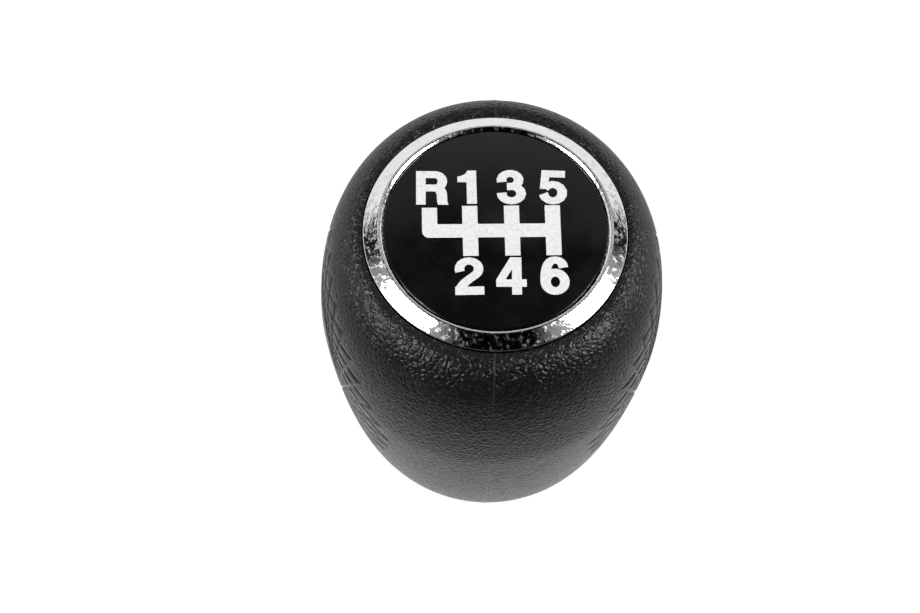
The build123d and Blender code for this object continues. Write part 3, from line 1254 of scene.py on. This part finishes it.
def build_floor():
    """A white sweep, white to the camera with a faint shadow; in reflections a painted pool of light."""
    material, tree = new_material("white_studio_sweep")
    path = add_node(tree, "ShaderNodeLightPath")
    paint = add_node(tree, "ShaderNodeBsdfDiffuse", {"Color": linear("#EDEDED")})
    thin_paint = add_node(tree, "ShaderNodeBsdfDiffuse", {"Color": linear("#8C8C8C")})
    glow = add_node(tree, "ShaderNodeEmission", {"Strength": FLOOR_GLOW})
    bright = add_node(tree, "ShaderNodeAddShader", {0: thin_paint.outputs[0], 1: glow.outputs[0]})
    place = add_node(tree, "ShaderNodeTexCoord").outputs["Object"]
    parts = add_node(tree, "ShaderNodeSeparateXYZ", {0: place})
    away = add_node(tree, "ShaderNodeVectorMath", {0: place}, operation="LENGTH")
    # Painted light: in reflections the floor glows dim in front, brighter behind and close to the knob.
    spans = (
        (parts.outputs["Y"], FLOOR_REACH, FLOOR_LIGHT),
        (away.outputs["Value"], NEAR_REACH, (NEAR_LIGHT, 0.0)),
    )
    wide, close = [
        add_node(
            tree,
            "ShaderNodeMapRange",
            {"Value": value, "From Min": near, "From Max": far, "To Min": before, "To Max": after},
            interpolation_type="SMOOTHSTEP",
        )
        for value, (near, far), (before, after) in spans
    ]
    pool = add_node(tree, "ShaderNodeMath", {0: wide.outputs[0], 1: close.outputs[0]}, operation="ADD")
    mirrored = add_node(tree, "ShaderNodeEmission", {"Strength": pool.outputs[0]})
    lit = add_node(
        tree,
        "ShaderNodeMixShader",
        {0: path.outputs["Is Glossy Ray"], 1: paint.outputs[0], 2: mirrored.outputs[0]},
    )
    seen = add_node(
        tree,
        "ShaderNodeMixShader",
        {0: path.outputs["Is Camera Ray"], 1: lit.outputs[0], 2: bright.outputs[0]},
    )
    add_node(tree, "ShaderNodeOutputMaterial", {"Surface": seen.outputs[0]})
    mesh = bpy.data.meshes.new("studio_floor")
    half = FLOOR_SIZE / 2
    corners = [(-half, -half, 0), (half, -half, 0), (half, half, 0), (-half, half, 0)]
    mesh.from_pydata(corners, [], [(0, 1, 2, 3)])
    mesh.materials.append(material)
    floor = bpy.data.objects.new("studio_floor", mesh)
    bpy.context.scene.collection.objects.link(floor)


softbox_ways = {
    name: Vector((sin(turn) * cos(SOFTBOX_HEIGHT), cos(turn) * cos(SOFTBOX_HEIGHT), sin(SOFTBOX_HEIGHT)))
    for name, turn in SOFTBOX_TURNS.items()
}


def build_surround():
    """A light horizon under a dark ceiling, a panel high behind, and a halo round each softbox."""
    world = bpy.data.worlds.new("studio")
    bpy.context.scene.world = world
    world.use_nodes = True
    tree = world.node_tree
    tree.nodes.clear()
    way = add_node(tree, "ShaderNodeTexCoord").outputs["Generated"]
    parts = add_node(tree, "ShaderNodeSeparateXYZ", {0: way})
    tilted = add_node(
        tree,
        "ShaderNodeMath",
        {0: parts.outputs["X"], 1: HORIZON_TILT, 2: parts.outputs["Z"]},
        operation="MULTIPLY_ADD",
    )
    spans = [
        (tilted.outputs[0], HORIZON_EDGE, (HORIZON_LIGHT, CEILING_LIGHT)),
        (parts.outputs["Y"], FRONT_REACH, (FRONT_LIGHT, 1.0)),
        (parts.outputs["Z"], BACK_PANEL_FOOT, (0.0, BACK_PANEL_LIGHT)),
        (parts.outputs["Z"], BACK_PANEL_HEAD, (1.0, 0.0)),
        (parts.outputs["Y"], BACK_PANEL_SIDES, (0.0, 1.0)),
    ]
    for towards in softbox_ways.values():
        near = add_node(tree, "ShaderNodeVectorMath", {0: way, 1: towards}, operation="DOT_PRODUCT")
        spans.append((near.outputs["Value"], HALO_REACH, (0.0, HALO_LIGHT)))
    horizon, front, panel_foot, panel_head, panel_sides, *halos = [
        add_node(
            tree,
            "ShaderNodeMapRange",
            {"Value": value, "From Min": near, "From Max": far, "To Min": before, "To Max": after},
            interpolation_type="SMOOTHSTEP",
        ).outputs[0]
        for value, (near, far), (before, after) in spans
    ]
    around = add_node(tree, "ShaderNodeMath", {0: horizon, 1: front}, operation="MULTIPLY")
    band = add_node(tree, "ShaderNodeMath", {0: panel_foot, 1: panel_head}, operation="MULTIPLY")
    whole = add_node(
        tree,
        "ShaderNodeMath",
        {0: band.outputs[0], 1: panel_sides, 2: around.outputs[0]},
        operation="MULTIPLY_ADD",
    )
    for halo in halos:
        whole = add_node(tree, "ShaderNodeMath", {0: whole.outputs[0], 1: halo}, operation="ADD")
    path = add_node(tree, "ShaderNodeLightPath")
    strength = add_node(
        tree, "ShaderNodeMix", {0: path.outputs["Is Camera Ray"], 2: whole.outputs[0], 3: 1.0}
    )
    sky = add_node(
        tree, "ShaderNodeBackground", {"Color": (1, 1, 1, 1), "Strength": strength.outputs[0]}
    )
    add_node(tree, "ShaderNodeOutputWorld", {"Surface": sky.outputs[0]})


def build_softboxes():
    """A softbox on each side, turned to the middle of the knob."""
    middle = Vector((0, 0, (cad_box[0][2] + cad_box[1][2]) / 2))
    for name, towards in softbox_ways.items():
        lamp = bpy.data.lights.new(name, "AREA")
        lamp.shape = "RECTANGLE"
        lamp.size, lamp.size_y = SOFTBOX_SIZE
        lamp.energy = SOFTBOX_POWER
        softbox = bpy.data.objects.new(name, lamp)
        bpy.context.scene.collection.objects.link(softbox)
        softbox.location = middle + towards * SOFTBOX_DISTANCE
        softbox.rotation_euler = towards.to_track_quat("Z", "Y").to_euler()


def build_camera():
    """The photograph's view: place, turns and focal length as fitted to the outline and the ring."""
    pan = Matrix.Rotation(CAMERA_YAW, 3, "Z")
    forwards = pan @ Vector((0, cos(CAMERA_PITCH), -sin(CAMERA_PITCH)))
    across = pan @ Vector((1, 0, 0))
    down = pan @ Vector((0, -sin(CAMERA_PITCH), -cos(CAMERA_PITCH)))
    right = across * cos(CAMERA_ROLL) + down * sin(CAMERA_ROLL)
    below = down * cos(CAMERA_ROLL) - across * sin(CAMERA_ROLL)
    lens = bpy.data.cameras.new("photo_view")
    lens.sensor_fit = "HORIZONTAL"
    lens.sensor_width = SENSOR_WIDTH
    lens.lens = SENSOR_WIDTH * FOCAL_PIXELS / PHOTO_WIDTH
    lens.clip_start = 0.01
    camera = bpy.data.objects.new("photo_view", lens)
    bpy.context.scene.collection.objects.link(camera)
    turn = Matrix((right, -below, -forwards)).transposed().to_4x4()
    camera.matrix_world = Matrix.Translation(Vector(CAMERA_PLACE) * MM) @ turn
    bpy.context.scene.camera = camera


brass = turned_brass()
build_cover(moulded_soft_pvc())
build_ring(chromed_abs())
build_insert(brass)
build_thread(brass)
build_print(white_pad_ink())
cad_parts["pattern_cap"].material_slots[0].material = gloss_black_abs()
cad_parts["core"].material_slots[0].material = eroded_polypropylene()

build_floor()
build_surround()
build_softboxes()
build_camera()
bpy.context.scene.view_settings.view_transform = "Standard"
